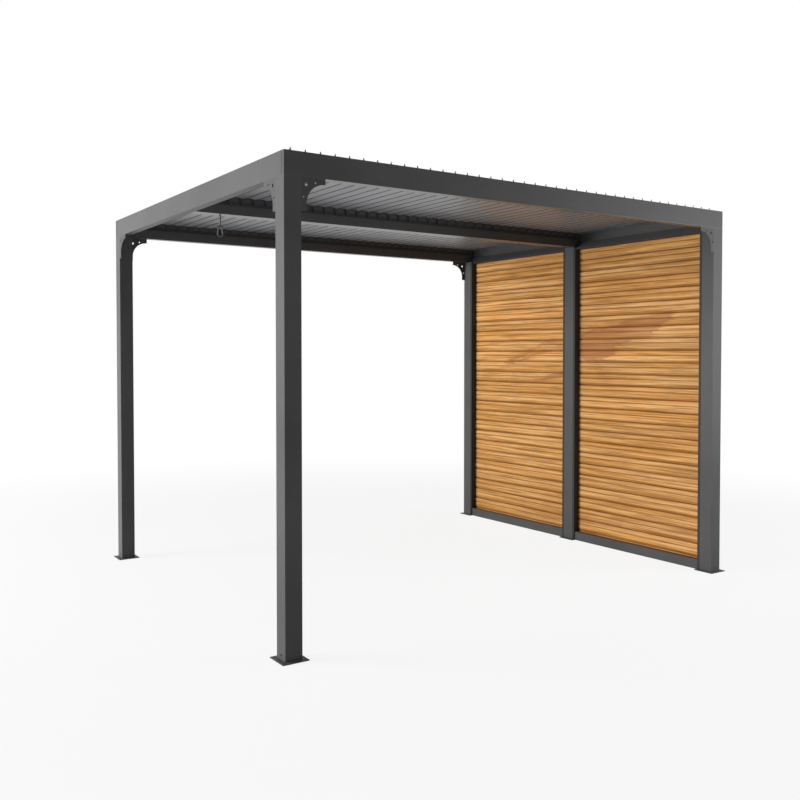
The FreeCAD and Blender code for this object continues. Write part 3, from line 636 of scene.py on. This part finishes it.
def one_board(wall, low, high):
    """The lowest board of a panel between the corners low and high, as a closed bar along Y."""
    section = board_section(wall)
    front, back = low.x, high.x - wall.unevenness
    start = wall.first_joint - wall.pitch
    outline = [(front + depth, start + share * wall.pitch) for share, depth in section]
    outline += [(back - depth, start + share * wall.pitch) for share, depth in reversed(section)]
    ends = [[(x, y, z) for x, z in outline] for y in (low.y, high.y)]
    return mesh_from("board", lambda shape: prism(shape, ends))


def board_tree():
    """Stacks copies of one board, each set back a little by its own amount."""
    recipe, given, end = geometry_tree("Board stack", (
        ("Boards", "NodeSocketInt"),
        ("Pitch", "NodeSocketFloat"),
        ("Unevenness", "NodeSocketFloat"),
        ("Seed", "NodeSocketInt"),
        ("Wood", "NodeSocketMaterial"),
    ))
    step = recipe.vector(0.0, 0.0, given["Pitch"])
    line = recipe.add("GeometryNodeMeshLine", {"mode": "OFFSET"}, {
        "Count": given["Boards"], "Offset": step})
    back = recipe.add("FunctionNodeRandomValue", {"data_type": "FLOAT"})
    recipe.feed(back.inputs[3], given["Unevenness"])
    recipe.feed(back.inputs["Seed"], given["Seed"])
    shift = recipe.vector(back.outputs[1], 0.0, 0.0)
    uneven = recipe.add("GeometryNodeSetPosition", None, {
        "Geometry": line.outputs[0], "Offset": shift})
    stack = recipe.add("GeometryNodeInstanceOnPoints", None, {
        "Points": uneven.outputs[0], "Instance": given["Geometry"]})
    end(stack.outputs[0], given["Wood"])
    return recipe.tree


def cut_level(mesh, height, keep_above):
    """Cuts the mesh at a height, closes the cut and keeps what lies above or below it."""
    shape = bmesh.new()
    shape.from_mesh(mesh)
    everything = shape.verts[:] + shape.edges[:] + shape.faces[:]
    cut = bmesh.ops.bisect_plane(
        shape, geom=everything, dist=1e-6, plane_co=(0, 0, height), plane_no=(0, 0, 1),
        clear_inner=keep_above, clear_outer=not keep_above)
    edges = [item for item in cut["geom_cut"] if isinstance(item, bmesh.types.BMEdge)]
    bmesh.ops.holes_fill(shape, edges=edges)
    shape.to_mesh(mesh)
    shape.free()


class PERGOLA_OT_boards(bpy.types.Operator):
    """Fill both bays of the wall with grooved boards"""
    bl_idname = "pergola.boards"
    bl_label = "Wall boards"

    def execute(self, context):
        wall = context.scene.pergola_wall
        wood = board_wood(wall)
        tree = board_tree()
        for number, panel in enumerate(PANELS):
            low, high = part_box(panel)
            count = math.ceil((high.z - wall.first_joint) / wall.pitch) + 1
            source = new_piece("board_source", one_board(wall, low, high))
            set_modifier(source, tree, {
                "Boards": count,
                "Pitch": wall.pitch,
                "Unevenness": wall.unevenness,
                "Seed": wall.seed + number,
                "Wood": wood,
            })
            boards = bake_piece(source, panel.replace("wall_panel", "boards"))
            cut_level(boards.data, low.z, keep_above=True)
            cut_level(boards.data, high.z, keep_above=False)
            smooth_below(boards.data, BOARD_EDGE)
            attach(boards, "frame")
            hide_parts(panel)
        return {"FINISHED"}


# Seals of the roof

def roof_seal(roof):
    """An angle on the right closing strips: its foot lies on them and its web faces the louvres."""
    low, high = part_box("closing_strips")
    seat = low.z + roof.strip_sheet
    left, thick = high.x - roof.strip_width - roof.seal_overhang, roof.seal_sheet
    outline = [
        (left, seat), (left + roof.seal_foot, seat), (left + roof.seal_foot, seat + thick),
        (left + 2 * thick, seat + thick), (left + thick, seat + 2 * thick),
        (left + thick, seat + roof.seal_height), (left, seat + roof.seal_height),
    ]
    front, back = low.y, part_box("beam_middle")[0].y

    def build(shape):
        for ends in ((front, back), (-back, -front)):
            prism(shape, [[(x, y, z) for x, z in outline] for y in ends])

    return mesh_from("roof_seal", build)


def louvre_gaskets(roof):
    """Angles along the beams that close the line of light at both ends of the louvres' blades."""
    top, reach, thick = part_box("beam_front")[1].z + roof.gasket_rise, roof.gasket_reach, roof.seal_sheet
    bevel = 0.4 * thick
    profile = [
        (0.0, top), (reach - bevel, top), (reach, top - bevel), (reach, top - thick),
        (thick, top - thick), (thick, top - roof.gasket_web), (0.0, top - roof.gasket_web),
    ]
    outer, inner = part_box("beam_back")[0].y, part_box("beam_middle")[1].y
    low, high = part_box("pivot_rails")
    start, stop = low.x + roof.gasket_inset, high.x

    def build(shape):
        for face, way in ((outer, -1), (-outer, 1), (inner, 1), (-inner, -1)):
            prism(shape, [[(x, face + way * out, z) for out, z in profile] for x in (start, stop)])

    return mesh_from("louvre_gaskets", build)


class PERGOLA_OT_seal(bpy.types.Operator):
    """Lay a seal on the right closing strips and gaskets on the beams at the louvres' ends"""
    bl_idname = "pergola.seal"
    bl_label = "Roof seal"

    def execute(self, context):
        roof = context.scene.pergola_roof
        coat = powder_coat("seal_rubber", context.scene.pergola_coat.crank, 0.7)
        seal = new_piece("roof_seal", roof_seal(roof), coat)
        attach(seal, "frame")
        gaskets = new_piece("louvre_gaskets", louvre_gaskets(roof), coat)
        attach(gaskets, "frame")
        return {"FINISHED"}


# Fastenings

def button_head(radius, height):
    """Low domed head with a hexagon socket, standing on z = 0."""
    rings = ((radius, 0.0), (radius, height * 0.25), (radius * 0.86, height * 0.72),
             (radius * 0.62, height), (radius * 0.42, height), (radius * 0.40, height * 0.45))
    return mesh_from("button_head", lambda shape: turned(shape, Vector(), rings, HEAD_SIDES))


def screw_tree():
    """Puts the given head at every point of another object, turned to face that point's way."""
    recipe, given, end = geometry_tree("Screw heads", (
        ("Places", "NodeSocketObject"),
        ("Coat", "NodeSocketMaterial"),
    ))
    places = recipe.add("GeometryNodeObjectInfo", None, {"Object": given["Places"]})
    facing = recipe.add("GeometryNodeInputNamedAttribute", {"data_type": "FLOAT_VECTOR"}, {
        "Name": "facing"})
    turn = recipe.add("FunctionNodeAlignRotationToVector", {"axis": "Z"}, {
        "Vector": facing.outputs["Attribute"]})
    heads = recipe.add("GeometryNodeInstanceOnPoints", None, {
        "Points": places.outputs["Geometry"],
        "Instance": given["Geometry"],
        "Rotation": turn.outputs[0],
    })
    end(heads.outputs[0], given["Coat"])
    return recipe.tree


def screw_places(fastening):
    """Each screw's point and the way that it faces: one outside each corner post's foot."""
    places = []
    rise = fastening.foot_height
    for post in CORNER_POSTS:
        low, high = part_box(post)
        middle = (low + high) / 2
        if "left" in post:
            places.append(((low.x, middle.y, rise), (-1, 0, 0)))
        elif "front" in post:
            places.append(((middle.x, low.y, rise), (0, -1, 0)))
        else:
            places.append(((middle.x, high.y, rise), (0, 1, 0)))
    return places


class PERGOLA_OT_screws(bpy.types.Operator):
    """Put the screw heads on the posts"""
    bl_idname = "pergola.screws"
    bl_label = "Screws"

    def execute(self, context):
        fastening = context.scene.pergola_fastening
        coat = powder_coat("screw_coat", context.scene.pergola_coat.screw, 0.38, gloss=0.5)
        places = screw_places(fastening)
        points = bpy.data.meshes.new("screw_points")
        points.from_pydata([place for place, facing in places], [], [])
        way = points.attributes.new("facing", "FLOAT_VECTOR", "POINT")
        for item, (place, facing) in zip(way.data, places):
            item.vector = facing
        target = new_piece("screw_places", points)
        head = new_piece("screw_source", button_head(fastening.head_radius, fastening.head_height))
        set_modifier(head, screw_tree(), {"Places": target, "Coat": coat})
        screws = bake_piece(head, "foot_screws")
        bpy.data.objects.remove(target)
        if not screws.data.polygons:
            raise RuntimeError("the screws came out empty")
        smooth_below(screws.data, ROUND_EDGE)
        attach(screws, "frame")
        return {"FINISHED"}


# The crank's rod and eye

def eye_path(crank, low, high):
    """Middle line of the eye's wire: two arcs joined by straight sides, square to Y."""
    half_wire = crank.wire / 2
    middle = (low + high) / 2
    foot_radius = (high.x - low.x) / 2 - half_wire
    top_radius = foot_radius * crank.eye_taper
    foot_z = low.z + half_wire + foot_radius
    top_z = low.z + crank.eye_height - half_wire - top_radius
    lean = math.asin((foot_radius - top_radius) / (top_z - foot_z))
    points = []
    for radius, height, start, sweep in (
            (top_radius, top_z, lean, math.pi - 2 * lean),
            (foot_radius, foot_z, math.pi - lean, math.pi + 2 * lean)):
        for i in range(ARC_STEPS + 1):
            angle = start + sweep * i / ARC_STEPS
            points.append(Vector((
                middle.x + radius * math.cos(angle), middle.y, height + radius * math.sin(angle))))
    return points


def sweep_ring(shape, points, radius, sides):
    """A closed tube along points that lie in a plane square to Y."""
    square = Vector((0, 1, 0))
    rows = []
    for i, point in enumerate(points):
        along = (points[(i + 1) % len(points)] - points[i - 1]).normalized()
        across = square.cross(along)
        rows.append([shape.verts.new(point + radius * (cos * across + sin * square))
                     for cos, sin in circle(sides)])
    for one, two in zip(rows, rows[1:] + rows[:1]):
        band(shape, one, two)


class PERGOLA_OT_crank(bpy.types.Operator):
    """Make the crank's rod and its eye from round wire"""
    bl_idname = "pergola.crank"
    bl_label = "Crank eye"

    def execute(self, context):
        crank = context.scene.pergola_crank
        low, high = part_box("crank_eye")
        beam_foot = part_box("beam_middle")[0].z
        path = eye_path(crank, low, high)
        crown = max(point.z for point in path)
        half = crank.rod / 2
        profile = (
            (half * 0.5, crown - 0.0035), (half * 0.85, crown - 0.001), (half * 0.97, crown + 0.003),
            (half, crown + 0.007), (half, beam_foot - 0.006), (half, beam_foot - 0.002),
            (half, high.z - 0.001), (half * 0.9, high.z))

        def build(shape):
            sweep_ring(shape, path, crank.wire / 2, WIRE_SIDES)
            turned(shape, (low + high) / 2, profile, ROD_SIDES)

        coat = powder_coat("crank_coat", context.scene.pergola_coat.crank, 0.36, gloss=0.5)
        eye = new_piece("crank_hanger", mesh_from("crank_hanger", build), coat)
        smooth_below(eye.data, ROUND_EDGE)
        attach(eye, "crank_eye")
        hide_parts("crank_eye")
        return {"FINISHED"}


# Finishes of the frame

class PERGOLA_OT_finish(bpy.types.Operator):
    """Coat the posts, beams, plates, brackets, rails and louvres"""
    bl_idname = "pergola.finish"
    bl_label = "Finishes"

    def execute(self, context):
        coats, roof = context.scene.pergola_coat, context.scene.pergola_roof
        for names, coat, colour, roughness in (
                (POSTS + ("bottom_rails",), "frame_coat", coats.coat, 0.46),
                # The channels and top rails take the darker channel colour as painted shade.
                (("side_channels", "top_rails"), "channel_coat", coats.channel, 0.55),
                (("base_plates",), "plate_coat", coats.coat, 0.50),
                (("corner_brackets",), "bracket_coat", coats.bracket, 0.48),
                (("pivot_rails", "crank_gearbox"), "inner_coat", coats.shade, 0.55)):
            paint_nodes(names, powder_coat(coat, colour, roughness))
        for beam in LONG_BEAMS:
            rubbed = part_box(beam)[0].z + FACE_MARGIN
            paint_nodes((beam,), powder_coat(beam + "_coat", coats.coat, 0.46, polish=rubbed))
        # The side beams' inner faces take the darker channel colour as painted shade.
        lap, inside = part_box("beam_left")[1].y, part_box("beam_right")[0].x + FACE_MARGIN
        paint_nodes(SIDE_BEAMS, powder_coat(
            "side_beam_coat", coats.coat, 0.46, seam=lap, painted_inner_shade=(inside, coats.channel)))
        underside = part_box("closing_strips")[0].z
        paint_nodes(
            LOUVRES + ("closing_strips",),
            louvre_coat("louvre_coat", coats.louvre, coats.lug, underside, roof.joint_shade))
        return {"FINISHED"}


# Studio

def white_to_camera(recipe, plain, strength):
    """Plain shading for light, and an even white where the camera, gloss or glass looks at it."""
    path = recipe.add("ShaderNodeLightPath")
    rays = [path.outputs[label] for label in ("Is Camera Ray", "Is Glossy Ray", "Is Transmission Ray")]
    seen = recipe.math("MAXIMUM", recipe.math("MAXIMUM", rays[0], rays[1]), rays[2])
    white = recipe.add("ShaderNodeEmission", None, {"Color": (1.0, 1.0, 1.0), "Strength": 1.0})
    mixed = recipe.add("ShaderNodeMixShader", None, {0: seen * strength})
    recipe.tree.links.new(plain, mixed.inputs[1])
    recipe.tree.links.new(white.outputs[0], mixed.inputs[2])
    return mixed.outputs[0]


def soft_light(name, place, aim, power, width, height):
    lamp = bpy.data.lights.new(name, "AREA")
    lamp.shape = "RECTANGLE"
    lamp.size = width
    lamp.size_y = height
    lamp.energy = power
    lit = bpy.data.objects.new(name, lamp)
    lit.location = place
    lit.rotation_euler = (Vector(aim) - Vector(place)).to_track_quat("-Z", "Y").to_euler()
    bpy.context.scene.collection.objects.link(lit)


def set_camera(scene, studio):
    camera = bpy.data.objects.new("camera", bpy.data.cameras.new("camera"))
    camera.data.lens = studio.lens
    camera.data.sensor_width = 36.0
    camera.data.shift_y = studio.camera_shift
    camera.data.clip_end = 200.0
    camera.location = studio.camera_place
    camera.rotation_euler = (math.pi / 2 - studio.camera_tip, 0.0, -studio.camera_turn)
    scene.collection.objects.link(camera)
    scene.camera = camera


def lay_floor(studio):
    """A square floor that keeps the object's shadow and turns plain white further out."""
    half = studio.floor_size / 2
    corners = [(-half, -half, 0), (half, -half, 0), (half, half, 0), (-half, half, 0)]
    ground = bpy.data.meshes.new("studio_floor")
    ground.from_pydata(corners, [], [(0, 1, 2, 3)])
    material, recipe, surface = new_material("floor_paint")
    surface.inputs["Base Color"].default_value = (*studio.floor, 1.0)
    surface.inputs["Roughness"].default_value = 0.9
    surface.inputs["Specular IOR Level"].default_value = 0.0
    x, y = recipe.place()[:2]
    away = recipe.math("SQRT", x * x + y * y)
    reach = studio.shadow_reach
    share = recipe.between(away, reach * studio.shadow_core, reach, studio.whiteness, 1.0)
    output = material.node_tree.nodes["Material Output"]
    recipe.feed(output.inputs["Surface"], white_to_camera(recipe, surface.outputs[0], share))
    floor = new_piece("studio_floor", ground, material)


def set_surroundings(scene, studio):
    world = bpy.data.worlds.new("studio_world")
    world.use_nodes = True
    recipe = Recipe(world.node_tree)
    even = world.node_tree.nodes["Background"]
    even.inputs["Color"].default_value = (1.0, 1.0, 1.0, 1.0)
    even.inputs["Strength"].default_value = studio.sky
    output = world.node_tree.nodes["World Output"]
    recipe.feed(output.inputs["Surface"], white_to_camera(recipe, even.outputs[0], 1.0))
    scene.world = world


class PERGOLA_OT_studio(bpy.types.Operator):
    """Set up the camera, the soft lights and the plain floor"""
    bl_idname = "pergola.studio"
    bl_label = "Studio"

    def execute(self, context):
        scene = context.scene
        studio = scene.pergola_studio
        scene.view_settings.view_transform = "Standard"
        set_camera(scene, studio)
        lay_floor(studio)
        set_surroundings(scene, studio)
        for name, power, place, aim, width, height in LAMPS:
            soft_light(name, place, aim, getattr(studio, power), width, height)
        return {"FINISHED"}


class PERGOLA_PT_panel(bpy.types.Panel):
    """Lists the pergola's steps and sizes"""
    bl_idname = "PERGOLA_PT_panel"
    bl_label = "Louvered pergola"
    bl_space_type = "VIEW_3D"
    bl_region_type = "UI"
    bl_category = "Pergola"

    def draw(self, context):
        layout = self.layout
        for step in STEPS:
            layout.operator(step.bl_idname)
        for label, group in GROUPS.items():
            box = layout.box()
            box.label(text=group.__name__)
            values = getattr(context.scene, label)
            for name in group.__annotations__:
                box.prop(values, name)


STEPS = (
    PERGOLA_OT_finish, PERGOLA_OT_boards, PERGOLA_OT_seal, PERGOLA_OT_screws, PERGOLA_OT_crank,
    PERGOLA_OT_studio,
)
GROUPS = {
    "pergola_wall": WallSizes,
    "pergola_coat": CoatSizes,
    "pergola_roof": RoofSizes,
    "pergola_fastening": FasteningSizes,
    "pergola_crank": CrankSizes,
    "pergola_studio": StudioSizes,
}


def register():
    for item in tuple(GROUPS.values()) + STEPS + (PERGOLA_PT_panel,):
        bpy.utils.register_class(item)
    for label, group in GROUPS.items():
        setattr(bpy.types.Scene, label, PointerProperty(type=group))


def unregister():
    for label in GROUPS:
        delattr(bpy.types.Scene, label)
    for item in reversed(tuple(GROUPS.values()) + STEPS + (PERGOLA_PT_panel,)):
        bpy.utils.unregister_class(item)


def main():
    register()
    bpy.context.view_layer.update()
    bpy.ops.pergola.finish()
    bpy.ops.pergola.boards()
    bpy.ops.pergola.seal()
    bpy.ops.pergola.screws()
    bpy.ops.pergola.crank()
    bpy.ops.pergola.studio()


if __name__ == "__main__":
    main()
